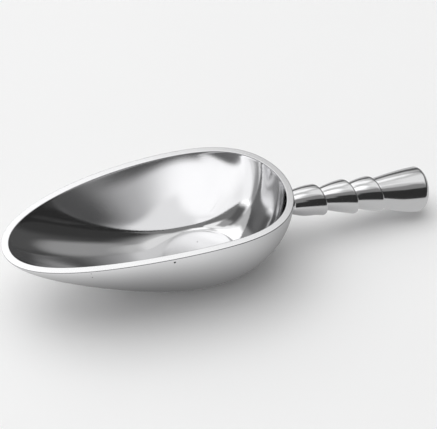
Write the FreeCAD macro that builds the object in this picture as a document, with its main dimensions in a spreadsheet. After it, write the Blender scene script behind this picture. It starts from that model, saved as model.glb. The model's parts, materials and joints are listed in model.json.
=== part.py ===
# Ice scoop, millimetres. +X runs from the bowl's point to the handle's end, +Y is
# lateral and +Z is up. The origin is the middle of the bounding box's bottom face,
# so z = 0 is the plane on which the bowl's foot and the handle's end rest.
import FreeCAD, Part
import math, os
import Sketcher

os.makedirs("parts", exist_ok=True)
V = FreeCAD.Vector
doc = FreeCAD.newDocument("ice_scoop")

# ---------------------------------------------------------------- dimensions
CELLS = [
    # bowl outline: cosine terms of x and sine terms of y, around the rim's outer edge
    ("shift_x", -45.58, "from the bowl's own middle to the part's origin"),
    ("rim_cos_0", 1.18, ""), ("rim_cos_1", 86.83, "half length"), ("rim_cos_2", -3.21, ""),
    ("rim_cos_3", -0.69, ""), ("rim_cos_4", 1.65, ""), ("rim_cos_5", -0.25, ""),
    ("rim_sin_1", 45.35, "half width"), ("rim_sin_2", 4.50, ""), ("rim_sin_3", 1.88, ""),
    ("rim_sin_4", 0.86, ""), ("rim_sin_5", 0.02, ""),
    ("bowl_depth", 51.65, "foot plane to the highest point of the rim"),
    ("rim_arch_radius", 848.8, "the rim is a shallow arch, lower at both ends"),
    ("rim_width", 4.22, "flat band on top of the wall"),
    ("floor_thick", 4.4, "metal under the bowl's floor"),
    ("floor_mid", 30.64, "middle of the flat floor inside"),
    ("floor_long", 21.05, "half length of the flat floor inside"),
    ("floor_wide", 21.04, "half width of the flat floor inside"),
    ("foot_mid", 26.9, "middle of the flat foot"),
    ("foot_long", 15.45, "half length of the flat foot"),
    ("foot_wide", 17.75, "half width of the flat foot"),
    # handle axis, and stations along it from the back wall
    ("axis_x", 85.0, "handle axis crosses the back wall"),
    ("axis_drop", 21.97, "below the highest point of the rim"),
    ("axis_tilt", 100.43, "degrees from +Z, so the handle droops by 10.43"),
    ("lip_yaw", 12.4, "degrees, the steps are cut askew"),
    ("boss_face", 1.9, ""), ("boss_rad", 7.5, ""), ("boss_root", -2.6, ""),
    ("lip_at_one", 21.61, ""), ("lip_at_two", 41.82, ""), ("lip_at_three", 59.12, ""),
    ("end_at", 87.63, "widest station of the end step"), ("end_dome", 5.7, "height of the rounded end"),
    ("neck_rad_one", 6.85, ""), ("neck_rad_two", 6.4, ""), ("neck_rad_three", 7.5, ""), ("neck_rad_four", 9.26, ""),
    ("lip_rad_one", 10.12, ""), ("lip_rad_two", 11.41, ""), ("lip_rad_three", 11.69, ""), ("end_rad", 14.0, ""),
    ("lip_round", 0.9, "rounding of each lip's edge"),
    # seats between the steps
    ("stub_rad", 4.7, "cast stub of the bowl inside the first step"), ("stub_end", 12.0, ""),
    ("spigot_rad", 4.5, "spigot of each step inside the one before"), ("spigot_len", 4.0, ""),
    ("seat_clear", 0.05, "radial clearance of stub and spigots"), ("seat_gap", 0.3, "end clearance"),
    # fixings
    ("rod_rad", 2.5, "M5 tie rod"), ("rod_start", -0.3, ""), ("rod_end", 83.6, ""), ("rod_bevel", 0.5, ""),
    ("tap_start", -0.7, "bottom of the blind threaded hole"),
    ("bore_rad", 2.75, "clearance hole for the rod"),
    ("well_rad", 8.5, "counterbore for the nut and the plug"), ("well_floor", 74.0, ""),
    ("washer_rad", 5.5, ""), ("washer_thick", 1.0, ""),
    ("lock_rad", 4.6, ""), ("lock_thick", 1.2, ""), ("lock_turn", 348.0, ""),
    ("nut_flat", 4.0, "half the width across flats"), ("nut_thick", 4.0, ""),
    ("plug_at", 85.0, "inner face of the end plug"), ("plug_hollow", 6.0, "relief inside the plug"), ("plug_relief", 2.2, ""),
]
sheet = doc.addObject("Spreadsheet::Sheet", "P")
VAL = {}
for i, (alias, value, note) in enumerate(CELLS):
    row = i + 1
    sheet.set("A%d" % row, str(value))
    sheet.setAlias("A%d" % row, alias)
    sheet.set("B%d" % row, note or alias.replace("_", " "))
    VAL[alias] = float(value)
doc.recompute()
P = lambda name: float(getattr(sheet, name))


# ---------------------------------------------------------------- helpers
def body(label, placed=False):
    b = doc.addObject("PartDesign::Body", label)
    b.Label = label
    if placed:      # local +Z is the handle axis, local z = 0 is at the bowl's back wall
        b.Placement = FreeCAD.Placement(V(P("axis_x") + P("shift_x"), 0, P("bowl_depth") - P("axis_drop")),
                                        FreeCAD.Rotation(V(0, 1, 0), P("axis_tilt")))
        b.setExpression("Placement.Base.x", "P.axis_x + P.shift_x")
        b.setExpression("Placement.Base.z", "P.bowl_depth - P.axis_drop")
        b.setExpression("Placement.Rotation.Angle", "P.axis_tilt")
    return b


def plane(b, role):
    return [f for f in b.Origin.OriginFeatures if f.Role == role][0]


def sketch(b, name, role="XY_Plane", at=None, turn=None):
    s = b.newObject("Sketcher::SketchObject", name)
    s.AttachmentSupport = [(plane(b, role), "")]
    s.MapMode = "FlatFace"
    s.AttachmentOffset = FreeCAD.Placement(V(0, 0, 0), turn if turn is not None else FreeCAD.Rotation())
    if at is not None:
        s.setExpression("AttachmentOffset.Base.z", at)
    return s


def circle(b, name, radius, at, turn=None):
    s = sketch(b, name, "XY_Plane", at, turn)
    s.addGeometry(Part.Circle(V(0, 0, 0), V(0, 0, 1), 5.0), False)
    s.addConstraint(Sketcher.Constraint("Coincident", 0, 3, -1, 1))
    s.addConstraint(Sketcher.Constraint("Radius", 0, 5.0))
    s.setExpression("Constraints[1]", radius)
    return s


def polygon(s, points):
    """A closed outline; each corner is (x expression, y expression)."""
    num = []
    for ex, ey in points:
        num.append((float(eval_cell(ex)), float(eval_cell(ey))))
    n = len(points)
    for i in range(n):
        a, c = num[i], num[(i + 1) % n]
        s.addGeometry(Part.LineSegment(V(a[0], a[1], 0), V(c[0], c[1], 0)), False)
    for i in range(n):
        s.addConstraint(Sketcher.Constraint("Coincident", i, 2, (i + 1) % n, 1))
    for i, (ex, ey) in enumerate(points):
        for kind, ex_, val, axis in (("DistanceX", ex, num[i][0], -2), ("DistanceY", ey, num[i][1], -1)):
            if abs(val) < 1e-9:
                s.addConstraint(Sketcher.Constraint("PointOnObject", i, 1, axis))
            else:
                k = s.addConstraint(Sketcher.Constraint(kind, -1, 1, i, 1, val))
                s.setExpression("Constraints[%d]" % k, ex_)
    return s


def eval_cell(text):
    """Value of a sum of cells and numbers, such as 'P.rod_end - P.rod_bevel'."""
    total, sign = 0.0, 1.0
    for word in text.split():
        if word in "+-":
            sign = 1.0 if word == "+" else -1.0
            continue
        lead = -1.0 if word.startswith("-") else 1.0
        word = word.lstrip("-")
        total += sign * lead * (P(word[2:]) if word.startswith("P.") else float(word))
    return total


def loft(b, name, sections, cut=False):
    f = b.newObject("PartDesign::SubtractiveLoft" if cut else "PartDesign::AdditiveLoft", name)
    f.Profile = sections[0]
    f.Sections = sections[1:]
    f.Ruled = False
    f.Closed = False
    return f


def spin(b, name, s, cut=False, angle=None):
    f = b.newObject("PartDesign::Groove" if cut else "PartDesign::Revolution", name)
    f.Profile = s
    f.ReferenceAxis = (plane(b, "Z_Axis"), [""])
    f.Angle = 360.0
    if angle:
        f.setExpression("Angle", angle)
    return f


def checked(b, feature, grows=None):
    """The feature must change the volume, the right way."""
    before = b.Shape.Volume if not b.Shape.isNull() else 0.0
    doc.recompute()
    after = feature.Shape.Volume
    if grows is True and after <= before + 1e-6:
        raise RuntimeError(feature.Name + " adds nothing")
    if grows is False and after >= before - 1e-6:
        raise RuntimeError(feature.Name + " cuts nothing")
    return feature


# ---------------------------------------------------------------- bowl surface
HAND = {"a": (0.024, -0.018), "b": (0.419, 0.142), "e": (0.400, 0.191, -0.056)}
HOLLOW = {"a": (0.118, -0.020), "b": (0.299, 0.124, 0.096), "e": (0.366, 0.057, -0.080)}


def rim_point(th):
    x = sum(P("rim_cos_%d" % k) * math.cos(k * th) for k in range(6))
    y = sum(P("rim_sin_%d" % k) * math.sin(k * th) for k in range(1, 6))
    return x, y


def outer_point(th, u):
    """Wall of the bowl: a cubic arc from the rim (u = 0) to the edge of the foot (u = 1),
    carried on above the rim in a straight line for u < 0."""
    depth = P("bowl_depth")
    x, y = rim_point(th)
    zr = -x * x / (2.0 * P("rim_arch_radius"))
    fx = P("foot_mid") + P("foot_long") * math.cos(th)
    fy = P("foot_wide") * math.sin(th)
    a = HAND["a"][0] + HAND["a"][1] * math.cos(th)
    b = HAND["b"][0] + HAND["b"][1] * math.cos(th)
    e = HAND["e"][0] + HAND["e"][1] * math.cos(th) + HAND["e"][2] * math.cos(2 * th)
    if u >= 0:
        c = (1 - u) ** 3 + 3 * (1 - u) ** 2 * u * (1 - a) + 3 * (1 - u) * u * u * e
        t = 3 * (1 - u) ** 2 * u * b + 3 * (1 - u) * u * u + u ** 3
    else:
        c, t = 1 - 3 * a * u, 3 * b * u
    return V(fx + (x - fx) * c, fy + (y - fy) * c, depth + zr * (1 - t) - depth * t)


def rim_inside(th):
    """Inner edge of the rim's flat band."""
    x, y = rim_point(th)
    dx = -sum(k * P("rim_cos_%d" % k) * math.sin(k * th) for k in range(6))
    dy = sum(k * P("rim_sin_%d" % k) * math.cos(k * th) for k in range(1, 6))
    ln = math.hypot(dx, dy)
    return x - dy / ln * P("rim_width"), y + dx / ln * P("rim_width")


def inner_point(th, u):
    """Hollow of the bowl: a fuller cubic arc, so the wall thins from about 6 mm below the rim
    to about 3 mm near the floor; u = 0 at the rim band's inner edge, 1 at the floor's edge."""
    depth = P("bowl_depth")
    x, y = rim_inside(th)
    zr = -x * x / (2.0 * P("rim_arch_radius"))
    fx = P("floor_mid") + P("floor_long") * math.cos(th)
    fy = P("floor_wide") * math.sin(th)
    a = HOLLOW["a"][0] + HOLLOW["a"][1] * math.cos(2 * th)
    b = HOLLOW["b"][0] + HOLLOW["b"][1] * math.cos(th) + HOLLOW["b"][2] * math.cos(2 * th)
    e = HOLLOW["e"][0] + HOLLOW["e"][1] * math.cos(th) + HOLLOW["e"][2] * math.cos(2 * th)
    if u >= 0:
        c = (1 - u) ** 3 + 3 * (1 - u) ** 2 * u * (1 - a) + 3 * (1 - u) * u * u * e
        t = 3 * (1 - u) ** 2 * u * b + 3 * (1 - u) * u * u + u ** 3
    else:
        c, t = 1 - 3 * a * u, 3 * b * u
    return V(fx + (x - fx) * c, fy + (y - fy) * c, depth + zr * (1 - t) - (depth - P("floor_thick")) * t)


def level_loop(point, z, count=56):
    """Points round the wall at height z."""
    out = []
    for i in range(count):
        th = 2 * math.pi * i / count
        lo, hi = -0.30, 1.0
        for _ in range(60):
            mid = (lo + hi) / 2
            if point(th, mid).z > z:
                lo = mid
            else:
                hi = mid
        q = point(th, (lo + hi) / 2)
        out.append(V(q.x + P("shift_x"), q.y, 0))
    return out


def wall_sketch(b, name, point, level, floor):
    z = eval_cell(floor) + level * (P("bowl_depth") - eval_cell(floor))
    pts = level_loop(point, z)
    s = sketch(b, name, "XY_Plane", "(%s) + %.6f * (P.bowl_depth - (%s))" % (floor, level, floor))
    c = Part.BSplineCurve()
    c.interpolate(Points=pts, PeriodicFlag=True)
    s.addGeometry(c, False)
    return s


def foot_sketch(b, name, at, which="foot"):
    s = sketch(b, name, "XY_Plane", at)
    pts = []
    for i in range(56):
        th = 2 * math.pi * i / 56
        pts.append(V(P(which + "_mid") + P("shift_x") + P(which + "_long") * math.cos(th),
                     P(which + "_wide") * math.sin(th), 0))
    c = Part.BSplineCurve()
    c.interpolate(Points=pts, PeriodicFlag=True)
    s.addGeometry(c, False)
    return s


LEVELS = [1.10, 0.98, 0.84, 0.68, 0.52, 0.37, 0.24, 0.14, 0.07, 0.025]
bowl = body("bowl")
outer = [wall_sketch(bowl, "outer_%d" % i, outer_point, f, "0") for i, f in enumerate(LEVELS)]
outer.append(foot_sketch(bowl, "outer_foot", "0"))
doc.recompute()
shell = loft(bowl, "outer_form", outer)
checked(bowl, shell)

# round boss on the back wall and the stub that carries the first handle step
ring = FreeCAD.Rotation(V(0, 1, 0), P("axis_tilt"))
for name, rad, to in (("boss", "P.boss_rad", "boss_face"), ("stub", "P.stub_rad", "stub_end")):
    s = bowl.newObject("Sketcher::SketchObject", name + "_circle")
    s.AttachmentSupport = [(plane(bowl, "XY_Plane"), "")]
    s.MapMode = "FlatFace"
    s.AttachmentOffset = FreeCAD.Placement(V(P("axis_x") + P("shift_x"), 0, P("bowl_depth") - P("axis_drop")), ring)
    s.setExpression("AttachmentOffset.Rotation.Angle", "P.axis_tilt")
    s.setExpression("AttachmentOffset.Base.x", "P.axis_x + P.shift_x + P.boss_root * sin(P.axis_tilt)")
    s.setExpression("AttachmentOffset.Base.z", "P.bowl_depth - P.axis_drop + P.boss_root * cos(P.axis_tilt)")
    s.addGeometry(Part.Circle(V(0, 0, 0), V(0, 0, 1), 5.0), False)
    s.addConstraint(Sketcher.Constraint("Coincident", 0, 3, -1, 1))
    s.addConstraint(Sketcher.Constraint("Radius", 0, 5.0))
    s.setExpression("Constraints[1]", rad)
    doc.recompute()
    pad = bowl.newObject("PartDesign::Pad", name)
    pad.Profile = s
    pad.Length = 5.0
    pad.setExpression("Length", "P.%s - P.boss_root" % to)
    checked(bowl, pad, True)

inner = [wall_sketch(bowl, "inner_%d" % i, inner_point, f, "P.floor_thick") for i, f in enumerate(LEVELS)]
inner.append(foot_sketch(bowl, "inner_floor", "P.floor_thick", "floor"))
doc.recompute()
hollow = loft(bowl, "hollow", inner, cut=True)
checked(bowl, hollow, False)

# the arched top of the rim
s = sketch(bowl, "arch", "XZ_Plane")
R = P("rim_arch_radius")
half = 110.0
cx = P("shift_x")
zc = P("bowl_depth") - R
a0 = math.asin(half / R)
pl = V(cx - half, zc + R * math.cos(a0), 0)
pr = V(cx + half, zc + R * math.cos(a0), 0)
top = P("bowl_depth") + 30.0
s.addGeometry(Part.Arc(pl, V(cx, P("bowl_depth"), 0), pr), False)
s.addGeometry(Part.LineSegment(pr, V(pr.x, top, 0)), False)
s.addGeometry(Part.LineSegment(V(pr.x, top, 0), V(pl.x, top, 0)), False)
s.addGeometry(Part.LineSegment(V(pl.x, top, 0), pl), False)
doc.recompute()
trim = bowl.newObject("PartDesign::Pocket", "rim_top")
trim.Profile = s
trim.Type = 1
trim.Midplane = True
checked(bowl, trim, False)

# blind threaded hole (M5) in the stub
s = bowl.newObject("Sketcher::SketchObject", "tap_circle")
s.AttachmentSupport = [(plane(bowl, "XY_Plane"), "")]
s.MapMode = "FlatFace"
s.AttachmentOffset = FreeCAD.Placement(V(P("axis_x") + P("shift_x"), 0, P("bowl_depth") - P("axis_drop")), ring)
s.setExpression("AttachmentOffset.Rotation.Angle", "P.axis_tilt")
s.setExpression("AttachmentOffset.Base.x", "P.axis_x + P.shift_x + P.stub_end * sin(P.axis_tilt)")
s.setExpression("AttachmentOffset.Base.z", "P.bowl_depth - P.axis_drop + P.stub_end * cos(P.axis_tilt)")
s.addGeometry(Part.Circle(V(0, 0, 0), V(0, 0, 1), 2.5), False)
s.addConstraint(Sketcher.Constraint("Coincident", 0, 3, -1, 1))
s.addConstraint(Sketcher.Constraint("Radius", 0, 2.5))
s.setExpression("Constraints[1]", "P.rod_rad")
doc.recompute()
tap = bowl.newObject("PartDesign::Pocket", "tapped_hole")
tap.Profile = s
tap.Length = 12.0
tap.setExpression("Length", "P.stub_end - P.tap_start")
checked(bowl, tap, False)

# ---------------------------------------------------------------- handle steps
# All lips lie in parallel planes, askew to the handle's axis.
yaw = math.radians(P("lip_yaw"))
lip_normal = FreeCAD.Rotation(V(0, 1, 0), P("axis_tilt")).inverted().multVec(V(math.cos(yaw), math.sin(yaw), 0))
SKEW = FreeCAD.Rotation(V(0, 0, 1), lip_normal)


def lip_edges(b, radius, station):
    """Names of the round edges of this radius in the plane of this station."""
    names = []
    inv = b.Placement.inverse()
    for i, e in enumerate(b.Shape.Edges):
        mid = inv.multVec(e.BoundBox.Center)
        pts = [inv.multVec(e.valueAt(e.FirstParameter + (e.LastParameter - e.FirstParameter) * k / 8.0)) for k in range(9)]
        if all(abs((q - V(0, 0, station)).dot(lip_normal)) < 0.05 and abs((q - V(0, 0, station)).Length - radius) < 0.1
               for q in pts):
            names.append("Edge%d" % (i + 1))
    return names


steps = [
    ("handle_segment_1", "P.boss_face", None, "P.neck_rad_one", "P.lip_at_one", "P.lip_rad_one"),
    ("handle_segment_2", "P.lip_at_one", SKEW, "P.neck_rad_two", "P.lip_at_two", "P.lip_rad_two"),
    ("handle_segment_3", "P.lip_at_two", SKEW, "P.neck_rad_three", "P.lip_at_three", "P.lip_rad_three"),
]
for name, start, turn, neck, lip_at, lip_rad in steps:
    b = body(name, placed=True)
    s0 = circle(b, name + "_neck", neck, start, turn)
    s1 = circle(b, name + "_lip", lip_rad, lip_at, SKEW)
    doc.recompute()
    checked(b, loft(b, name + "_flare", [s1, s0]), True)
    edges = lip_edges(b, eval_cell(lip_rad), eval_cell(lip_at))
    if not edges:
        raise RuntimeError("no lip edge on " + name)
    flare = b.Tip
    f = b.newObject("PartDesign::Fillet", name + "_round")
    f.Base = (flare, edges)
    f.Radius = 1.0
    f.setExpression("Radius", "P.lip_round")
    checked(b, f, False)
    if turn is not None:        # spigot into the step before
        sk = polygon(sketch(b, name + "_spigot_half", "XZ_Plane"),
                     [("0", start + " - P.spigot_len"), ("P.spigot_rad", start + " - P.spigot_len"),
                      ("P.spigot_rad", start + " + 3"), ("0", start + " + 3")])
        doc.recompute()
        checked(b, spin(b, name + "_spigot", sk), True)
    # bore for the rod, and the socket for the stub or for the next spigot
    if turn is None:
        low = [("0", start + " - 1"), ("P.stub_rad + P.seat_clear", start + " - 1"),
               ("P.stub_rad + P.seat_clear", "P.stub_end + P.seat_gap"), ("P.bore_rad", "P.stub_end + P.seat_gap")]
    else:
        low = [("0", start + " - P.spigot_len - 1"), ("P.bore_rad", start + " - P.spigot_len - 1")]
    high = [("P.bore_rad", lip_at + " - P.spigot_len - P.seat_gap"),
            ("P.spigot_rad + P.seat_clear", lip_at + " - P.spigot_len - P.seat_gap"),
            ("P.spigot_rad + P.seat_clear", lip_at + " + 3"), ("0", lip_at + " + 3")]
    sk = polygon(sketch(b, name + "_bore_half", "XZ_Plane"), low + high)
    doc.recompute()
    checked(b, spin(b, name + "_bore", sk, cut=True), False)

# the end step: flared grip, rounded end, counterbore for the nut
b = body("handle_segment_4", placed=True)
n = "handle_segment_4"
s0 = circle(b, n + "_neck", "P.neck_rad_four", "P.lip_at_three", SKEW)
s1 = circle(b, n + "_mid", "P.neck_rad_four + (P.end_rad - P.neck_rad_four) * 0.56", "P.lip_at_three + (P.end_at - P.lip_at_three) * 0.52")
s2 = circle(b, n + "_wide", "P.end_rad", "P.end_at")
doc.recompute()
checked(b, loft(b, n + "_flare", [s2, s1, s0]), True)
s = sketch(b, n + "_dome_half", "XZ_Plane")
zr, zh, zs = P("end_rad"), P("end_dome"), P("end_at")
ell = Part.Ellipse(V(zr, zs, 0), V(0, zs + zh, 0), V(0, zs, 0))
s.addGeometry(Part.ArcOfEllipse(ell, 0.0, math.pi / 2), False)
s.addGeometry(Part.LineSegment(V(0, zs + zh, 0), V(0, zs, 0)), False)
s.addGeometry(Part.LineSegment(V(0, zs, 0), V(zr, zs, 0)), False)
doc.recompute()
checked(b, spin(b, n + "_dome", s), True)
sk = polygon(sketch(b, n + "_spigot_half", "XZ_Plane"),
             [("0", "P.lip_at_three - P.spigot_len"), ("P.spigot_rad", "P.lip_at_three - P.spigot_len"),
              ("P.spigot_rad", "P.lip_at_three + 4"), ("0", "P.lip_at_three + 4")])
doc.recompute()
checked(b, spin(b, n + "_spigot", sk), True)
sk = polygon(sketch(b, n + "_well_half", "XZ_Plane"),
             [("0", "P.lip_at_three - P.spigot_len - 1"), ("P.bore_rad", "P.lip_at_three - P.spigot_len - 1"),
              ("P.bore_rad", "P.well_floor"), ("P.well_rad", "P.well_floor"),
              ("P.well_rad", "P.end_at + P.end_dome + 2"), ("0", "P.end_at + P.end_dome + 2")])
doc.recompute()
checked(b, spin(b, n + "_well", sk, cut=True), False)

# ---------------------------------------------------------------- fixings
b = body("tie_rod", placed=True)
sk = polygon(sketch(b, "tie_rod_half", "XZ_Plane"),
             [("0", "P.rod_start"), ("P.rod_rad - P.rod_bevel", "P.rod_start"),
              ("P.rod_rad", "P.rod_start + P.rod_bevel"), ("P.rod_rad", "P.rod_end - P.rod_bevel"),
              ("P.rod_rad - P.rod_bevel", "P.rod_end"), ("0", "P.rod_end")])
doc.recompute()
checked(b, spin(b, "tie_rod_turned", sk), True)

b = body("flat_washer", placed=True)
sk = polygon(sketch(b, "flat_washer_half", "XZ_Plane"),
             [("P.rod_rad + 0.2", "P.well_floor"), ("P.washer_rad", "P.well_floor"),
              ("P.washer_rad", "P.well_floor + P.washer_thick"), ("P.rod_rad + 0.2", "P.well_floor + P.washer_thick")])
doc.recompute()
checked(b, spin(b, "flat_washer_turned", sk), True)

b = body("lock_washer", placed=True)
base = "P.well_floor + P.washer_thick"
sk = polygon(sketch(b, "lock_washer_half", "XZ_Plane"),
             [("P.rod_rad + 0.2", base), ("P.lock_rad", base), ("P.lock_rad", base + " + P.lock_thick"),
              ("P.rod_rad + 0.2", base + " + P.lock_thick")])
doc.recompute()
checked(b, spin(b, "lock_washer_turned", sk, angle="P.lock_turn"), True)

b = body("clamp_nut", placed=True)
base = "P.well_floor + P.washer_thick + P.lock_thick"
s = sketch(b, "clamp_nut_hexagon", "XY_Plane", base)
rr = P("nut_flat") / math.cos(math.pi / 6)
pts = [V(rr * math.cos(math.pi / 3 * k), rr * math.sin(math.pi / 3 * k), 0) for k in range(6)]
for k in range(6):
    s.addGeometry(Part.LineSegment(pts[k], pts[(k + 1) % 6]), False)
for k in range(6):
    s.addConstraint(Sketcher.Constraint("Coincident", k, 2, (k + 1) % 6, 1))
for k in range(1, 6):
    s.addConstraint(Sketcher.Constraint("Equal", 0, k))
s.addGeometry(Part.Circle(V(0, 0, 0), V(0, 0, 1), P("nut_flat")), True)
s.addConstraint(Sketcher.Constraint("Coincident", 6, 3, -1, 1))
c = s.addConstraint(Sketcher.Constraint("Radius", 6, P("nut_flat")))
s.setExpression("Constraints[%d]" % c, "P.nut_flat")
for k in range(6):
    s.addConstraint(Sketcher.Constraint("Tangent", k, 6))
s.addConstraint(Sketcher.Constraint("PointOnObject", 0, 1, -1))
doc.recompute()
pad = b.newObject("PartDesign::Pad", "clamp_nut_blank")
pad.Profile = s
pad.Length = 4.0
pad.setExpression("Length", "P.nut_thick")
checked(b, pad, True)
sk = polygon(sketch(b, "clamp_nut_bore_half", "XZ_Plane"),
             [("0", base + " - 1"), ("P.rod_rad", base + " - 1"),
              ("P.rod_rad", base + " + P.nut_thick + 1"), ("0", base + " + P.nut_thick + 1")])
doc.recompute()
checked(b, spin(b, "clamp_nut_bore", sk, cut=True), False)
sk = polygon(sketch(b, "clamp_nut_bevel_half", "XZ_Plane"),
             [("P.nut_flat", base + " + P.nut_thick"), ("P.nut_flat + 1.5", base + " + P.nut_thick"),
              ("P.nut_flat + 1.5", base + " + P.nut_thick - 0.87")])
doc.recompute()
checked(b, spin(b, "clamp_nut_bevel", sk, cut=True), False)

# the domed plug carries the end's curve across the counterbore
b = body("end_plug", placed=True)
s = sketch(b, "end_plug_half", "XZ_Plane")
wr, pa = P("well_rad"), P("plug_at")
zt = zs + zh * math.sqrt(1 - (wr / zr) ** 2)
rise = zs + zh - zt
ball = (wr * wr + rise * rise) / (2 * rise)     # the crown is a piece of a sphere centred on the axis
lean = math.asin(wr / ball)
s.addGeometry(Part.ArcOfCircle(Part.Circle(V(0, zs + zh - ball, 0), V(0, 0, 1), ball), math.pi / 2 - lean, math.pi / 2), False)
s.addGeometry(Part.LineSegment(V(0, zs + zh, 0), V(0, pa, 0)), False)
s.addGeometry(Part.LineSegment(V(0, pa, 0), V(wr, pa, 0)), False)
s.addGeometry(Part.LineSegment(V(wr, pa, 0), V(wr, zt, 0)), False)
doc.recompute()
checked(b, spin(b, "end_plug_turned", s), True)
sk = polygon(sketch(b, "end_plug_relief_half", "XZ_Plane"),
             [("0", "P.plug_at - 1"), ("P.plug_hollow", "P.plug_at - 1"),
              ("P.plug_hollow", "P.plug_at + P.plug_relief"), ("0", "P.plug_at + P.plug_relief")])
doc.recompute()
checked(b, spin(b, "end_plug_relief", sk, cut=True), False)

# ---------------------------------------------------------------- check and write
doc.recompute()
NODES = ["bowl", "handle_segment_1", "handle_segment_2", "handle_segment_3", "handle_segment_4",
         "tie_rod", "flat_washer", "lock_washer", "clamp_nut", "end_plug"]
for o in doc.Objects:
    if "Invalid" in o.State or "Error" in o.State:
        raise RuntimeError("failed object: %s %s" % (o.Name, o.State))
lo, hi = V(1e9, 1e9, 1e9), V(-1e9, -1e9, -1e9)
for label in NODES:
    o = doc.getObjectsByLabel(label)[0]
    sh = o.Shape
    if sh.isNull() or not sh.isValid() or not sh.Solids:
        raise RuntimeError("bad shape: " + label)
    bb = sh.optimalBoundingBox() if hasattr(sh, "optimalBoundingBox") else sh.BoundBox
    lo = V(min(lo.x, bb.XMin), min(lo.y, bb.YMin), min(lo.z, bb.ZMin))
    hi = V(max(hi.x, bb.XMax), max(hi.y, bb.YMax), max(hi.z, bb.ZMax))
    print("%-18s solids %d volume %10.2f  x %8.3f %8.3f  y %7.3f %7.3f  z %7.3f %7.3f" % (
        label, len(sh.Solids), sh.Volume, bb.XMin, bb.XMax, bb.YMin, bb.YMax, bb.ZMin, bb.ZMax))
    sh.exportStep("parts/%s.step" % label)
print("box", lo, hi, "middle x %.3f y %.3f" % ((lo.x + hi.x) / 2, (lo.y + hi.y) / 2))
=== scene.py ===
import bpy
import json
import math
import numpy as np
from mathutils import Matrix, Vector
from mathutils.bvhtree import BVHTree

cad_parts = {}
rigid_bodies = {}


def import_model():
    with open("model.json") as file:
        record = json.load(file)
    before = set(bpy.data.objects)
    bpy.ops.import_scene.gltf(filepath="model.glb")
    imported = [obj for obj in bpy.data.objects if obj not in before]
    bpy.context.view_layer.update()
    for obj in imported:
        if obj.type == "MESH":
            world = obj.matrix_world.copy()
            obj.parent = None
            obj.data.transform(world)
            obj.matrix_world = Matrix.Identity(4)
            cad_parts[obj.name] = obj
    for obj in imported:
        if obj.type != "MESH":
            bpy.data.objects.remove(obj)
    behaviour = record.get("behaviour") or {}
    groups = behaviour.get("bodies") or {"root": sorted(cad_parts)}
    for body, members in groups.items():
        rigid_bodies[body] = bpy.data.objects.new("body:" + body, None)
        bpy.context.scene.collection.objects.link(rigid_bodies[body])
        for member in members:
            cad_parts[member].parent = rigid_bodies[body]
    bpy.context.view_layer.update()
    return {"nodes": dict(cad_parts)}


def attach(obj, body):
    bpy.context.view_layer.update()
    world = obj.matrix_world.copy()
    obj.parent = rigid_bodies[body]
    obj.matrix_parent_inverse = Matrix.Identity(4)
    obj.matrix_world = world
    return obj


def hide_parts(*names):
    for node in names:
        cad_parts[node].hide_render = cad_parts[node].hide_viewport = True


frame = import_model()

MM = 0.001
SHIFT = -45.58          # the bowl's own middle to the part's origin, mm
DEPTH = 51.65
ARCH = 848.8            # radius of the rim's arch
BAND = 4.22             # width of the rim's flat band
FLOOR = 4.4
RIM_COS = [1.18, 86.83, -3.21, -0.69, 1.65, -0.25]
RIM_SIN = [0.0, 45.35, 4.50, 1.88, 0.86, 0.02]
FOOT = (26.9, 15.45, 17.75)


# ------------------------------------------------------------------ helpers
def mesh_object(name, verts, faces, smooth=True):
    me = bpy.data.meshes.new(name)
    me.from_pydata([tuple(v) for v in verts], [], [tuple(f) for f in faces])
    me.validate()
    me.update()
    if smooth:
        me.polygons.foreach_set("use_smooth", [True] * len(me.polygons))
    ob = bpy.data.objects.new(name, me)
    bpy.context.scene.collection.objects.link(ob)
    return ob


def grid_faces(rows, cols, close_rows=False, base=0):
    """Quads between rings of cols points; each ring is closed."""
    out = []
    last = rows if close_rows else rows - 1
    for i in range(last):
        a, b = base + i * cols, base + ((i + 1) % rows) * cols
        for j in range(cols):
            k = (j + 1) % cols
            out.append((a + j, a + k, b + k, b + j))
    return out


# ------------------------------------------------------------------ bowl form
def rim(th):
    x = sum(RIM_COS[k] * np.cos(k * th) for k in range(6))
    y = sum(RIM_SIN[k] * np.sin(k * th) for k in range(1, 6))
    return x, y


def outer(th, u):
    """Wall of the bowl, mm, in the part's frame: u = 0 at the rim, 1 at the foot's edge."""
    x, y = rim(th)
    zr = -x * x / (2 * ARCH)
    fx = FOOT[0] + FOOT[1] * np.cos(th)
    fy = FOOT[2] * np.sin(th)
    a = 0.024 - 0.018 * np.cos(th)
    b = 0.419 + 0.142 * np.cos(th)
    e = 0.400 + 0.191 * np.cos(th) - 0.056 * np.cos(2 * th)
    c = (1 - u) ** 3 + 3 * (1 - u) ** 2 * u * (1 - a) + 3 * (1 - u) * u * u * e
    t = 3 * (1 - u) ** 2 * u * b + 3 * (1 - u) * u * u + u ** 3
    return np.stack([fx + (x - fx) * c + SHIFT, fy + (y - fy) * c, DEPTH + zr * (1 - t) - DEPTH * t], -1)


def wall_normal(th, u):
    h = 1e-4
    v = np.clip(u, h, 1 - 2 * h)
    n = np.cross(outer(th + h, v) - outer(th - h, v), outer(th, v + h) - outer(th, v - h))
    n /= np.linalg.norm(n, axis=-1, keepdims=True)
    s = np.sign(n[..., 0] * np.cos(th) + n[..., 1] * np.sin(th) - 0.2 * n[..., 2])
    return n * s[..., None]


def rim_inside(th):
    """Inner edge of the flat rim band, mm, before the shift to the part's origin."""
    x, y = rim(th)
    dx = -sum(k * RIM_COS[k] * np.sin(k * th) for k in range(6))
    dy = sum(k * RIM_SIN[k] * np.cos(k * th) for k in range(1, 6))
    ln = np.hypot(dx, dy)
    return x - dy / ln * BAND, y + dx / ln * BAND


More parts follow.
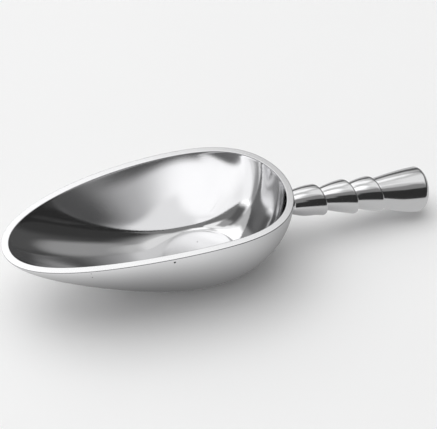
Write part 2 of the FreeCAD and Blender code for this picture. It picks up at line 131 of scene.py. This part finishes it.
def inner(th, u):
    """Hollow of the bowl, mm: u = 0 at the rim band's inner edge, 1 at the floor's edge."""
    x, y = rim_inside(th)
    zr = -x * x / (2 * ARCH)
    fx = 30.64 + 21.05 * np.cos(th)
    fy = 21.04 * np.sin(th)
    a = 0.118 - 0.020 * np.cos(2 * th)
    b = 0.299 + 0.124 * np.cos(th) + 0.096 * np.cos(2 * th)
    e = 0.366 + 0.057 * np.cos(th) - 0.080 * np.cos(2 * th)
    c = (1 - u) ** 3 + 3 * (1 - u) ** 2 * u * (1 - a) + 3 * (1 - u) * u * u * e
    t = 3 * (1 - u) ** 2 * u * b + 3 * (1 - u) * u * u + u ** 3
    return np.stack([fx + (x - fx) * c + SHIFT, fy + (y - fy) * c, DEPTH + zr * (1 - t) - (DEPTH - FLOOR) * t], -1)


def corner(a, c, b, r, steps=4):
    """Rounded corner c between a and b, radius about r: a list of rings."""
    da = a - c; da /= np.linalg.norm(da, axis=-1, keepdims=True)
    db = b - c; db /= np.linalg.norm(db, axis=-1, keepdims=True)
    out = []
    for i in range(steps + 1):
        t = i / steps
        p, q = c + da * r, c + db * r
        out.append((1 - t) ** 2 * p + 2 * t * (1 - t) * c + t * t * q)
    return out


EDGE_ROWS = []      # rows of faces that lie on the rim's two worked edges
BAND_ROWS = []      # rows of faces on the flat band between them


def build_bowl():
    n = 320
    th = np.linspace(0, 2 * np.pi, n, endpoint=False)
    one = np.ones(n)
    rings = []
    # foot, from the middle outwards
    foot = outer(th, one)
    mid = np.array([FOOT[0] + SHIFT, 0.0, 0.0])
    for f in (0.02, 0.3, 0.6, 0.85):
        rings.append(mid + (foot - mid) * f)
    us = 1 - np.linspace(0, 1, 72) ** 1.0 * 0.985
    for u in us:
        rings.append(outer(th, u * one))
    # rim: rounded outer edge, flat band, rounded inner edge
    x, y = rim(th)
    top_o = np.stack([x + SHIFT, y, DEPTH - x * x / (2 * ARCH)], -1)
    xi, yi = rim_inside(th)
    top_i = np.stack([xi + SHIFT, yi, DEPTH - xi * xi / (2 * ARCH)], -1)
    k0 = len(rings)
    rings += corner(rings[-1], top_o, top_i, 0.42, 5)
    EDGE_ROWS.extend(range(k0, k0 + 4))
    band = k0 + 4
    for t in (0.2, 0.35, 0.5, 0.65, 0.8):
        q = top_o + (top_i - top_o) * t
        rings.append(q)
    wall_in = inner(th, 0.03 * one)
    k0 = len(rings)
    rings += corner(top_o, top_i, wall_in, 0.38, 5)
    EDGE_ROWS.extend(range(k0 + 1, k0 + 5))
    BAND_ROWS.extend(range(band, k0 + 1))
    for u in np.linspace(0.03, 0.9995, 78):
        rings.append(inner(th, u * one))
    floor = rings[-1].copy()
    midf = np.array([30.64 + SHIFT, 0.0, FLOOR])
    for f in (0.85, 0.6, 0.3, 0.02):
        rings.append(midf + (floor - midf) * f)
    verts = np.concatenate(rings) * MM
    faces = grid_faces(len(rings), n)
    v0 = len(verts)
    verts = np.concatenate([verts, [mid * MM, midf * MM]])
    faces += [(j, (j + 1) % n, v0) for j in range(n)]
    b = (len(rings) - 1) * n
    faces += [(b + (j + 1) % n, b + j, v0 + 1) for j in range(n)]
    return verts, faces


# ------------------------------------------------------------------ handle form
TILT = math.radians(10.43)
AX = np.array([math.cos(TILT), 0.0, -math.sin(TILT)])
A0 = np.array([85.0 + SHIFT, 0.0, DEPTH - 21.97])
YAW = math.radians(12.4)
SKEW = np.array([math.cos(YAW), math.sin(YAW), 0.0])
NPHI = 160
PHI = np.linspace(0, 2 * np.pi, NPHI, endpoint=False)


def ring(s, r, w=0.0, swell=None):
    """Ring of radius r at station s. w = 0 is square to the axis, w = 1 lies in a lip's plane.
    phi = 0 is the +Y side and phi = 90 degrees is the top."""
    n = AX * (1 - w) + SKEW * w
    n = n / np.linalg.norm(n)
    e1 = np.cross([0, 0, 1.0], n); e1 /= np.linalg.norm(e1)
    e2 = np.cross(n, e1)
    rr = np.full(NPHI, float(r)) if swell is None else r + swell
    return A0 + s * AX + rr[:, None] * (np.cos(PHI)[:, None] * e1 + np.sin(PHI)[:, None] * e2)


def ease(t):
    return t * t * (3 - 2 * t)


def flare(s0, r0, w0, s1, r1, w1, rows, bow=0.0, low=None, crown=0.45):
    """Rings from (s0, r0) to (s1, r1); bow lifts the middle outwards, low swells the underside."""
    out = []
    for i in range(rows + 1):
        t = i / rows
        sw = None
        if low is not None:
            under = np.clip(-np.sin(PHI), 0, 1) ** 1.5
            over = np.clip(np.sin(PHI), 0, 1)
            sw = low(t) * under + crown * 4 * t * (1 - t) * over
        out.append(ring(s0 + (s1 - s0) * t, r0 + (r1 - r0) * t + bow * 4 * t * (1 - t), w0 + (w1 - w0) * t, sw))
    return out


def build_step(s0, r0, w0, s1, r1, w1, lip, socket, spigot, bow=0.0, low=None, bore=2.75):
    """One cast step of the handle: bore, spigot, flared outside, rounded lip, socketed end face."""
    rows = []
    if spigot:
        rows.append(ring(s0 - 4.0, bore, 0))
        rows.append(ring(s0 - 4.0, spigot - 0.3, 0))
        rows.append(ring(s0 - 3.7, spigot, 0))
        rows.append(ring(s0 - 0.02, spigot, w0))
    else:
        rows.append(ring(s0, 4.75, w0))
    # end face towards the bowl, a fine bevel, then the flare
    rows.append(ring(s0, r0 - 0.45, w0))
    rows.append(ring(s0 + 0.06, r0 - 0.22, w0))
    body = flare(s0 + 0.35, r0 + 0.35 * (r1 - r0) / (s1 - s0), w0, s1, r1, w1, 26, bow, low)
    out = body[-1]
    inn = ring(s1, r1 - lip * 2.2, w1)
    back = int(math.ceil(lip / ((s1 - s0) / 26.0))) + 1
    cut = body[:-back]
    edge = corner(body[-back - 1], out, inn, lip, 10)
    rows += cut + edge
    rows.append(ring(s1, r1 - lip * 2.2, w1))
    if socket:
        rows.append(ring(s1, socket + 0.35, w1))
        rows.append(ring(s1 - 0.3, socket, w1))
        rows.append(ring(s1 - 4.3, socket, 0))
        rows.append(ring(s1 - 4.3, bore, 0))
    if not spigot:      # long socket for the bowl's stub
        rows.append(ring(12.3, bore, 0))
        rows.append(ring(12.3, 4.75, 0))
    verts = np.concatenate(rows) * MM
    return verts, grid_faces(len(rows), NPHI, close_rows=True)


def turned(profile):
    """A closed outline of (s, r) turned about the handle's axis."""
    rows = [ring(s, r, 0) for s, r in profile]
    return np.concatenate(rows) * MM, grid_faces(len(rows), NPHI, close_rows=True)


# ------------------------------------------------------------------ materials
def nodes_of(name):
    m = bpy.data.materials.new(name)
    m.use_nodes = True
    nt = m.node_tree
    return m, nt, nt.nodes["Principled BSDF"]


def add(nt, kind, **vals):
    n = nt.nodes.new(kind)
    for k, v in vals.items():
        if k in n.inputs.keys():
            n.inputs[k].default_value = v
        else:
            setattr(n, k, v)
    return n


def polished(name, base=(0.86, 0.86, 0.865), rough=(0.05, 0.12), grain_axis=(6, 240, 240), grain=0.02,
             wave=0.0, pits=False, holes=()):
    """Mirror-polished cast aluminium: cloudy roughness, fine directional polishing marks,
    a slightly wavy hand-finished surface, and a few small casting pits."""
    m, nt, bs = nodes_of(name)
    L = nt.links
    co = add(nt, "ShaderNodeTexCoord")
    bs.inputs["Metallic"].default_value = 1.0
    bs.inputs["IOR"].default_value = 1.45
    # cloudy variation
    cloud = add(nt, "ShaderNodeTexNoise", Scale=22.0, Detail=5.0, Roughness=0.6)
    L.new(co.outputs["Object"], cloud.inputs["Vector"])
    # fine polishing marks along the grain
    mp = add(nt, "ShaderNodeMapping")
    mp.inputs["Scale"].default_value = grain_axis
    L.new(co.outputs["Object"], mp.inputs["Vector"])
    marks = add(nt, "ShaderNodeTexNoise", Scale=14.0, Detail=6.0, Roughness=0.65)
    L.new(mp.outputs["Vector"], marks.inputs["Vector"])
    # roughness
    mix = add(nt, "ShaderNodeMath", operation="MULTIPLY_ADD")
    L.new(marks.outputs["Fac"], mix.inputs[0]); mix.inputs[1].default_value = 0.5
    L.new(cloud.outputs["Fac"], mix.inputs[2])
    mr = add(nt, "ShaderNodeMapRange")
    mr.inputs["From Min"].default_value = 0.45
    mr.inputs["From Max"].default_value = 1.05
    mr.inputs["To Min"].default_value = rough[0]
    mr.inputs["To Max"].default_value = rough[1]
    L.new(mix.outputs[0], mr.inputs["Value"])
    L.new(mr.outputs["Result"], bs.inputs["Roughness"])
    # colour: a trace of variation in the metal
    cr = add(nt, "ShaderNodeValToRGB")
    cr.color_ramp.elements[0].position = 0.3
    cr.color_ramp.elements[0].color = (base[0] * 0.95, base[1] * 0.95, base[2] * 0.955, 1)
    cr.color_ramp.elements[1].position = 0.75
    cr.color_ramp.elements[1].color = (base[0], base[1], base[2], 1)
    L.new(cloud.outputs["Fac"], cr.inputs["Fac"])
    colour = cr.outputs["Color"]
    # bump: marks, then broad waviness
    b1 = add(nt, "ShaderNodeBump", Strength=grain, Distance=0.0002)
    L.new(marks.outputs["Fac"], b1.inputs["Height"])
    last = b1
    if wave > 0:
        broad = add(nt, "ShaderNodeTexNoise", Scale=38.0, Detail=1.5, Roughness=0.4)
        L.new(co.outputs["Object"], broad.inputs["Vector"])
        b2 = add(nt, "ShaderNodeBump", Strength=wave, Distance=0.002)
        L.new(broad.outputs["Fac"], b2.inputs["Height"])
        L.new(last.outputs["Normal"], b2.inputs["Normal"])
        last = b2
    if pits:
        vo = add(nt, "ShaderNodeTexVoronoi", Scale=55.0, Randomness=1.0)
        L.new(co.outputs["Object"], vo.inputs["Vector"])
        pr = add(nt, "ShaderNodeMapRange")
        pr.inputs["From Min"].default_value = 0.018
        pr.inputs["From Max"].default_value = 0.034
        pr.inputs["To Min"].default_value = 0.0
        pr.inputs["To Max"].default_value = 1.0
        L.new(vo.outputs["Distance"], pr.inputs["Value"])
        b3 = add(nt, "ShaderNodeBump", Strength=0.35, Distance=0.0004)
        L.new(pr.outputs["Result"], b3.inputs["Height"])
        L.new(last.outputs["Normal"], b3.inputs["Normal"])
        last = b3
        # pits are darkened to dark grey in colour: painted shade inside each pit
        mc = add(nt, "ShaderNodeMix", data_type="RGBA")
        L.new(pr.outputs["Result"], mc.inputs[0])
        mc.inputs[6].default_value = (0.20, 0.20, 0.20, 1)
        L.new(colour, mc.inputs[7])
        colour = mc.outputs[2]
    # each listed hole is painted near-black in colour: painted shade inside the hole, with a bump at its edge
    for where, size in holes:
        dist = add(nt, "ShaderNodeVectorMath", operation="DISTANCE")
        L.new(co.outputs["Object"], dist.inputs[0])
        dist.inputs[1].default_value = where
        hr = add(nt, "ShaderNodeMapRange")
        hr.inputs["From Min"].default_value = size * 0.45
        hr.inputs["From Max"].default_value = size
        L.new(dist.outputs["Value"], hr.inputs["Value"])
        b4 = add(nt, "ShaderNodeBump", Strength=0.8, Distance=0.0005)
        L.new(hr.outputs["Result"], b4.inputs["Height"])
        L.new(last.outputs["Normal"], b4.inputs["Normal"])
        last = b4
        mh = add(nt, "ShaderNodeMix", data_type="RGBA")
        L.new(hr.outputs["Result"], mh.inputs[0])
        mh.inputs[6].default_value = (0.03, 0.03, 0.03, 1)
        L.new(colour, mh.inputs[7])
        colour = mh.outputs[2]
    L.new(colour, bs.inputs["Base Color"])
    L.new(last.outputs["Normal"], bs.inputs["Normal"])
    return m


def steel(name):
    """Zinc-plated steel with turning marks."""
    m, nt, bs = nodes_of(name)
    L = nt.links
    co = add(nt, "ShaderNodeTexCoord")
    bs.inputs["Metallic"].default_value = 1.0
    n1 = add(nt, "ShaderNodeTexNoise", Scale=900.0, Detail=4.0)
    mp = add(nt, "ShaderNodeMapping")
    mp.inputs["Rotation"].default_value = (0, -TILT, 0)
    mp.inputs["Scale"].default_value = (3.0, 0.3, 0.3)
    L.new(co.outputs["Object"], mp.inputs["Vector"])
    L.new(mp.outputs["Vector"], n1.inputs["Vector"])
    cr = add(nt, "ShaderNodeValToRGB")
    cr.color_ramp.elements[0].color = (0.42, 0.43, 0.45, 1)
    cr.color_ramp.elements[1].color = (0.62, 0.62, 0.60, 1)
    L.new(n1.outputs["Fac"], cr.inputs["Fac"])
    L.new(cr.outputs["Color"], bs.inputs["Base Color"])
    mr = add(nt, "ShaderNodeMapRange")
    mr.inputs["To Min"].default_value = 0.22
    mr.inputs["To Max"].default_value = 0.42
    L.new(n1.outputs["Fac"], mr.inputs["Value"])
    L.new(mr.outputs["Result"], bs.inputs["Roughness"])
    b1 = add(nt, "ShaderNodeBump", Strength=0.25, Distance=0.0002)
    L.new(n1.outputs["Fac"], b1.inputs["Height"])
    L.new(b1.outputs["Normal"], bs.inputs["Normal"])
    return m


# the listed holes are painted near-black in the bowl metal: painted shade in small holes
MAT_BOWL = polished("bowl_metal_polished", rough=(0.05, 0.11), grain_axis=(5, 60, 60), grain=0.05, wave=0.035, pits=True,
                    holes=(((-0.04493, -0.04295, 0.04908), 0.00075), ((-0.08987, -0.03448, 0.0450), 0.00042),
                           ((-0.0905, -0.0352, 0.0486), 0.00030), ((0.0122, 0.0388, 0.0361), 0.00055)))
# rim edge metal: a dark grey base colour, a painted dark reflection along both edges of the rim
MAT_EDGE_PAINTED_REFLECTION = polished("bowl_metal_edge_painted_reflection", base=(0.42, 0.42, 0.43), rough=(0.20, 0.32), grain_axis=(20, 20, 20), grain=0.05)
MAT_BAND = polished("bowl_metal_rim", base=(0.96, 0.96, 0.965), rough=(0.20, 0.28), grain_axis=(5, 60, 60), grain=0.06)
MAT_STEP = polished("handle_metal_polished", base=(0.93, 0.93, 0.935), rough=(0.10, 0.17), grain_axis=(60, 8, 8), grain=0.05, wave=0.03, pits=False)
MAT_PLUG = polished("plug_metal_polished", rough=(0.08, 0.16), grain_axis=(30, 30, 30), grain=0.08, wave=0.01)
MAT_STEEL = steel("zinc_plated_steel")


def finish_piece(ob, mat, node):
    ob.data.materials.clear()
    ob.data.materials.append(mat)
    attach(ob, "root")
    if node:
        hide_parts(node)


# ------------------------------------------------------------------ bowl
verts, faces = build_bowl()
tree = BVHTree.FromPolygons([Vector(v) for v in verts], faces)
base = len(verts)


def wall_station(r, phi):
    """Station of the outer wall, mm, on a line beside the handle's axis."""
    e1 = np.cross([0, 0, 1.0], AX); e1 /= np.linalg.norm(e1)
    e2 = np.cross(AX, e1)
    p = A0 + 12 * AX + r * (math.cos(phi) * e1 + math.sin(phi) * e2)
    hit = tree.ray_cast(Vector(p * MM), Vector(-AX), 0.05)
    return 12 - hit[3] / MM


# the boss grows out of the wall through a small cast radius
BOSS_R, BOSS_S, CAST = 7.5, 1.9, 1.5
e1 = np.cross([0, 0, 1.0], AX); e1 /= np.linalg.norm(e1)
e2 = np.cross(AX, e1)
rows = []
for k in range(9):
    a = k / 8 * math.pi / 2
    r = BOSS_R + CAST * (1 - math.sin(a))
    row = []
    for phi in PHI:
        s = min(wall_station(r, phi) + CAST * (1 - math.cos(a)) - (0.05 if k == 0 else 0.0), BOSS_S - 0.3 + 0.02 * k)
        row.append(A0 + s * AX + r * (math.cos(phi) * e1 + math.sin(phi) * e2))
    rows.append(np.array(row))
rows.append(ring(BOSS_S - 0.2, BOSS_R, 0))
rows.append(ring(BOSS_S - 0.05, BOSS_R - 0.1, 0))
rows.append(ring(BOSS_S, BOSS_R - 0.3, 0))
rows.append(ring(BOSS_S, 4.72, 0))
rows.append(ring(11.7, 4.7, 0))
rows.append(ring(12.0, 4.4, 0))
rows.append(ring(12.0, 2.5, 0))
rows.append(ring(-0.7, 2.5, 0))
bv = np.concatenate(rows) * MM
bf = grid_faces(len(rows), NPHI, base=base)
c0 = base + len(bv)
bv = np.concatenate([bv, [(A0 - 0.9 * AX) * MM]])
tail = base + (len(rows) - 1) * NPHI
bf += [(tail + j, tail + (j + 1) % NPHI, c0) for j in range(NPHI)]
verts = np.concatenate([verts, bv])
faces = list(faces) + bf
bowl = mesh_object("bowl_body", verts, faces)
finish_piece(bowl, MAT_BOWL, "bowl")
# faces on the rim's two edges take the darkened edge metal: painted dark reflection lines
bowl.data.materials.append(MAT_EDGE_PAINTED_REFLECTION)
for row in EDGE_ROWS:
    for j in range(320):
        bowl.data.polygons[row * 320 + j].material_index = 1
bowl.data.materials.append(MAT_BAND)
for row in BAND_ROWS:
    for j in range(320):
        bowl.data.polygons[row * 320 + j].material_index = 2

# ------------------------------------------------------------------ handle steps
S1, S2, S3, S4, DOME = 21.61, 41.82, 59.12, 87.63, 5.7


def belly(t):
    """The first step sags a little below its straight line near the bowl."""
    return 0.85 * math.exp(-((t - 0.36) / 0.24) ** 2) - 0.25 * math.exp(-((t - 0.74) / 0.12) ** 2)


parts = [
    ("handle_segment_1_body", "handle_segment_1", build_step(1.9, 6.85, 0, S1, 10.12, 1, 1.7, 4.55, None, 0.22, belly)),
    ("handle_segment_2_body", "handle_segment_2", build_step(S1, 6.4, 1, S2, 11.41, 1, 1.9, 4.55, 4.5, 0.32, lambda t: 0.0)),
    ("handle_segment_3_body", "handle_segment_3", build_step(S2, 7.5, 1, S3, 11.69, 1, 1.9, 4.55, 4.5, 0.40, lambda t: 0.0)),
]
for name, node, (v, f) in parts:
    finish_piece(mesh_object(name, v, f), MAT_STEP, node)


def grip_radius(t):
    """Radius of the end step along its length: flares, then straightens before the rounded end."""
    return 9.26 + (14.0 - 9.26) * (t + 0.16 * math.sin(math.pi * t) * (0.35 + 0.65 * t))


rows = [ring(S3 - 4.0, 2.75, 0), ring(S3 - 4.0, 4.2, 0), ring(S3 - 3.7, 4.5, 0), ring(S3 - 0.02, 4.5, 1),
        ring(S3, 8.85, 1), ring(S3 + 0.06, 9.05, 1)]
for i in range(31):
    t = i / 30
    rows.append(ring(S3 + 0.35 + (S4 - S3 - 0.35) * t, grip_radius(t), max(0.0, 1 - t * 1.9)))
PLUG_R = 8.5
for k in range(1, 17):
    a = k / 16 * math.acos((PLUG_R + 0.35) / 14.0)
    rows.append(ring(S4 + DOME * math.sin(a), 14.0 * math.cos(a), 0))
zt = DOME * math.sqrt(1 - (PLUG_R / 14.0) ** 2)
rows.append(ring(S4 + zt - 0.12, PLUG_R + 0.12, 0))
rows.append(ring(S4 + zt - 0.4, PLUG_R + 0.02, 0))
rows.append(ring(74.0, PLUG_R + 0.02, 0))
rows.append(ring(74.0, 2.75, 0))
v, f = np.concatenate(rows) * MM, grid_faces(len(rows), NPHI, close_rows=True)
finish_piece(mesh_object("handle_segment_4_body", v, f), MAT_STEP, "handle_segment_4")

# end plug: domed crown with a fine bevel, hollow inside
rise = DOME - zt
ball = (PLUG_R ** 2 + rise ** 2) / (2 * rise)
rows = [ring(87.2, 0.05, 0), ring(87.2, 5.8, 0), ring(87.0, 6.0, 0), ring(85.0, 6.0, 0), ring(85.0, 8.2, 0), ring(85.3, PLUG_R, 0),
        ring(S4 + zt - 0.45, PLUG_R, 0), ring(S4 + zt - 0.14, PLUG_R - 0.08, 0)]
for k in range(15):
    r = (PLUG_R - 0.3) * (1 - k / 14) + 0.05 * (k / 14)
    rows.append(ring(S4 + DOME - ball + math.sqrt(ball * ball - r * r), r, 0))
v = np.concatenate(rows) * MM
f = grid_faces(len(rows), NPHI)
v0 = len(v)
v = np.concatenate([v, [(A0 + 87.2 * AX) * MM, (A0 + (S4 + DOME) * AX) * MM]])
f += [((j + 1) % NPHI, j, v0) for j in range(NPHI)]
b0 = (len(rows) - 1) * NPHI
f += [(b0 + j, b0 + (j + 1) % NPHI, v0 + 1) for j in range(NPHI)]
finish_piece(mesh_object("end_plug_body", v, f), MAT_PLUG, "end_plug")

# ------------------------------------------------------------------ fixings keep their CAD shape
for node in ("tie_rod", "flat_washer", "lock_washer", "clamp_nut"):
    ob = frame["nodes"][node]
    for s in ob.material_slots:
        s.material = MAT_STEEL
    if not ob.material_slots:
        ob.data.materials.append(MAT_STEEL)

# make every built mesh's faces look outwards
import bmesh
for ob in list(bpy.data.objects):
    if ob.name.endswith("_body") and ob.type == "MESH":
        bm = bmesh.new(); bm.from_mesh(ob.data)
        bmesh.ops.recalc_face_normals(bm, faces=bm.faces)
        bm.to_mesh(ob.data); bm.free()
        ob.data.polygons.foreach_set("use_smooth", [True] * len(ob.data.polygons))

# ------------------------------------------------------------------ studio
floor_me = bpy.data.meshes.new("studio_floor")
S = 3.0
floor_me.from_pydata([(-S, -S, 0), (S, -S, 0), (S, S, 0), (-S, S, 0)], [], [(0, 1, 2, 3)])
floor = bpy.data.objects.new("studio_floor", floor_me)
bpy.context.scene.collection.objects.link(floor)
floor.location.z = -0.0002
m, nt, bs = nodes_of("studio_paper")
bs.inputs["Base Color"].default_value = (0.93, 0.93, 0.93, 1)
bs.inputs["Roughness"].default_value = 0.9
bs.inputs["Specular IOR Level"].default_value = 0.2
floor_me.materials.append(m)

# Soft studio light: a procedural sky of softboxes and dark flags, by direction.
# Azimuth 0 is the front (-Y), 90 the handle's side (+X), 180 the back; degrees.
world = bpy.data.worlds.new("studio")
bpy.context.scene.world = world
world.use_nodes = True
wn = world.node_tree
WL = wn.links


def M(op, a, b=None, c=None, clamp=False):
    n = wn.nodes.new("ShaderNodeMath")
    n.operation = op
    n.use_clamp = clamp
    for k, v in enumerate((a, b, c)):
        if v is None:
            continue
        if isinstance(v, (int, float)):
            n.inputs[k].default_value = v
        else:
            WL.new(v, n.inputs[k])
    return n.outputs[0]


def step(x, a, b):
    """0 below a, 1 above b, smooth between."""
    n = wn.nodes.new("ShaderNodeMapRange")
    n.interpolation_type = "SMOOTHSTEP"
    WL.new(x, n.inputs["Value"])
    for key, v in (("From Min", a), ("From Max", b)):
        if isinstance(v, (int, float)):
            n.inputs[key].default_value = v
        else:
            WL.new(v, n.inputs[key])
    return n.outputs["Result"]


tc = wn.nodes.new("ShaderNodeTexCoord")
sep = wn.nodes.new("ShaderNodeSeparateXYZ")
WL.new(tc.outputs["Generated"], sep.inputs[0])
AZ = M("MULTIPLY", M("ARCTAN2", sep.outputs[0], M("MULTIPLY", sep.outputs[1], -1.0)), 57.29578)
EL = M("MULTIPLY", M("ARCSINE", sep.outputs[2]), 57.29578)


def panel(az0, az1, el0, el1, sa, se, tilt=0.0, lean=0.0, behind=False):
    """Soft mask of a rectangle of directions: sa and se are the widths of its soft edges in
    degrees, tilt slopes its level edges and lean its upright ones."""
    a = AZ2 if behind else AZ
    if lean:
        a = M("SUBTRACT", a, M("MULTIPLY", M("SUBTRACT", EL, 20.0), lean))
    e = EL
    if tilt:
        e = M("SUBTRACT", EL, M("MULTIPLY", M("SUBTRACT", a, 0.5 * (az0 + az1)), tilt))
    left = step(a, az0 - sa / 2, az0 + sa / 2)
    right_ = M("SUBTRACT", 1.0, step(a, az1 - sa / 2, az1 + sa / 2))
    lowm = step(e, el0 - se / 2, el0 + se / 2)
    highm = M("SUBTRACT", 1.0, step(e, el1 - se / 2, el1 + se / 2))
    return M("MULTIPLY", M("MULTIPLY", left, right_), M("MULTIPLY", lowm, highm))


def over(cur, mask, value):
    return M("ADD", M("MULTIPLY", cur, M("SUBTRACT", 1.0, mask)), M("MULTIPLY", mask, value))


# azimuth that runs on past 180, for panels behind the object
AZ2 = M("ADD", AZ, M("MULTIPLY", M("LESS_THAN", AZ, 0.0), 360.0))
sky = 0.535
# behind, from azimuth, to azimuth, from elevation, to elevation, soft sides, soft levels, brightness, tilt, lean
for layer in (
    (False, -112, 22, 41, 74, 20, 8, 1.00, 0.0, 0.0),          # front ceiling
    (False, -88, -54, -14, 22, 7, 6, 1.60, 0.0, 0.0),          # low front light
    (False, -87, -58, 15, 49, 13, 8, 0.110, 0.07, 0.0),        # grey flag above it
    (False, -66, 4, 28, 49, 8, 6, 0.18, 0.45, 0.0),            # grey flag in front
    (True, 172, 231, 17, 51, 45, 7, 1.40, 0.0, 0.0),           # large softbox behind
    (True, 208, 258, 35, 78, 14, 8, 1.27, 0.0, 0.1),           # softbox behind the tip
    (True, 180, 232, 50, 72, 14, 8, 1.30, 0.0, 0.0),           # upper part of the large softbox
    (True, 142, 190, 39, 62, 10, 6, 1.05, 0.0, 0.0),           # its upper corner
    (True, 132, 202, -14, 20, 4, 5, 0.086, 0.07, 0.0),         # dark below the softbox
    (False, 36, 87, -14, 41, 10, 18, 0.043, 0.10, 0.32),       # tall dark flag
    (False, 75, 133, -14, 33, 14, 8, 0.081, 0.0, 0.0),         # dark flag on the handle's side
    (False, 83, 126, 28, 39, 16, 6, 0.312, -0.17, 0.15),       # grey strip over it
    (False, 61, 130, 47, 71, 14, 6, 0.80, -0.10, 0.0),         # light over the handle
    (False, -42, 143, 73, 95, 24, 9, 1.18, 0.06, 0.0),         # light overhead
    (False, -200, 200, 82, 120, 10, 6, 1.36, 0.0, 0.0),        # straight overhead
    (False, 128, 143, 4, 38, 24, 8, 0.04, 0.0, 0.0),           # dark edge
    (False, -19, 51, 23, 62, 3, 7, 0.22, -0.14, 0.0),          # grey card beside the camera
    (False, -80, -53, 38, 59, 8, 8, 0.36, 0.0, 0.0),           # grey card on the far side of the camera
):
    sky = over(sky, panel(*layer[1:7], layer[8], layer[9], layer[0]), layer[7])
bg = wn.nodes["Background"]
comb = wn.nodes.new("ShaderNodeCombineColor")
for k in range(3):
    WL.new(sky, comb.inputs[k])
WL.new(comb.outputs[0], bg.inputs["Color"])
bg.inputs["Strength"].default_value = 1.0


def card(name, corners, value):
    """A flat studio card of one brightness, out of the camera's sight."""
    me = bpy.data.meshes.new(name)
    me.from_pydata([tuple(np.array(c) * MM) for c in corners], [], [(0, 1, 2, 3)])
    ob = bpy.data.objects.new(name, me)
    bpy.context.scene.collection.objects.link(ob)
    mt = bpy.data.materials.new(name)
    mt.use_nodes = True
    t = mt.node_tree
    t.nodes.clear()
    e = t.nodes.new("ShaderNodeEmission")
    e.inputs["Color"].default_value = (1, 1, 1, 1)
    e.inputs["Strength"].default_value = value
    o = t.nodes.new("ShaderNodeOutputMaterial")
    t.links.new(e.outputs[0], o.inputs["Surface"])
    me.materials.append(mt)
    ob.visible_camera = False
    ob.visible_shadow = False
    ob.visible_diffuse = False
    return ob


# a glowing card seen only by the metal, standing in for the paper: a painted reflection of the paper, grey, with a
# painted shadow dark close under the bowl
paper = card("paper_bounce", [(-3000, -3000, -0.1), (3000, -3000, -0.1), (3000, 3000, -0.1), (-3000, 3000, -0.1)], 0.5)
pt = paper.data.materials[0].node_tree
pc = pt.nodes.new("ShaderNodeTexCoord")
pm = pt.nodes.new("ShaderNodeMapping")
pm.inputs["Location"].default_value = (0.020, 0.0, 0.0)
pm.inputs["Scale"].default_value = (0.66, 1.0, 0.0)
pt.links.new(pc.outputs["Object"], pm.inputs["Vector"])
pl = pt.nodes.new("ShaderNodeVectorMath")
pl.operation = "LENGTH"
pt.links.new(pm.outputs["Vector"], pl.inputs[0])
pr = pt.nodes.new("ShaderNodeMapRange")
pr.interpolation_type = "SMOOTHSTEP"
pr.inputs["From Min"].default_value = 0.020
pr.inputs["From Max"].default_value = 0.092
pr.inputs["To Min"].default_value = 0.15
pr.inputs["To Max"].default_value = 0.76
pt.links.new(pl.outputs["Value"], pr.inputs["Value"])
# painted shade on the reflected paper: darker towards the handle
px = pt.nodes.new("ShaderNodeSeparateXYZ")      # a little darker towards the handle
pt.links.new(pc.outputs["Object"], px.inputs[0])
pf = pt.nodes.new("ShaderNodeMapRange")
pf.interpolation_type = "SMOOTHSTEP"
pf.inputs["From Min"].default_value = -0.030
pf.inputs["From Max"].default_value = 0.080
pf.inputs["To Min"].default_value = 1.0
pf.inputs["To Max"].default_value = 0.66
pt.links.new(px.outputs[0], pf.inputs["Value"])
pq = pt.nodes.new("ShaderNodeMath")
pq.operation = "MULTIPLY"
pt.links.new(pr.outputs["Result"], pq.inputs[0])
pt.links.new(pf.outputs["Result"], pq.inputs[1])
for n in pt.nodes:
    if n.type == "EMISSION":
        pt.links.new(pq.outputs[0], n.inputs["Strength"])

# overhead lamp for the paper, kept out of the metal's reflections
lamp = bpy.data.lights.new("paper_lamp", "AREA")
lamp.shape = "DISK"
lamp.size = 2.2
lamp.energy = 16.0
lo = bpy.data.objects.new("paper_lamp", lamp)
bpy.context.scene.collection.objects.link(lo)
lo.location = (-0.3, 0.4, 2.0)
lo.rotation_euler = (Vector((0, 0, 0)) - lo.location).to_track_quat("-Z", "Y").to_euler()
lo.visible_glossy = False
lo.visible_camera = False

# dark flags beside the handle
card("handle_flag", [(70, -110, 1), (250, -110, 1), (250, -110, 115), (70, -110, 115)], 0.025)
card("handle_flag_low", [(24, -110, 1), (70, -110, 1), (70, -110, 86), (24, -110, 86)], 0.025)

# ------------------------------------------------------------------ camera
az, el = math.radians(-20.151), math.radians(43.19)
DIST = 797.05
back = np.array([math.sin(az) * math.cos(el), -math.cos(az) * math.cos(el), math.sin(el)])
right = np.array([math.cos(az), math.sin(az), 0.0])
up = np.cross(back, right)
target = 39.316 * right - 2.931 * up
origin = np.array([SHIFT, 0.0, DEPTH])
cam = bpy.data.cameras.new("camera")
cam.sensor_fit = "HORIZONTAL"
cam.sensor_width = 36.0
cam.lens = 1400.0 / 437.0 * 36.0
cam.clip_start = 0.01
cam.clip_end = 20.0
co = bpy.data.objects.new("camera", cam)
bpy.context.scene.collection.objects.link(co)
mat = Matrix([[right[0], up[0], back[0], 0], [right[1], up[1], back[1], 0], [right[2], up[2], back[2], 0], [0, 0, 0, 1]])
pos = (target + origin + DIST * back) * MM
mat.translation = Vector(pos)
co.matrix_world = mat
bpy.context.scene.camera = co
bpy.context.scene.view_settings.view_transform = "Standard"
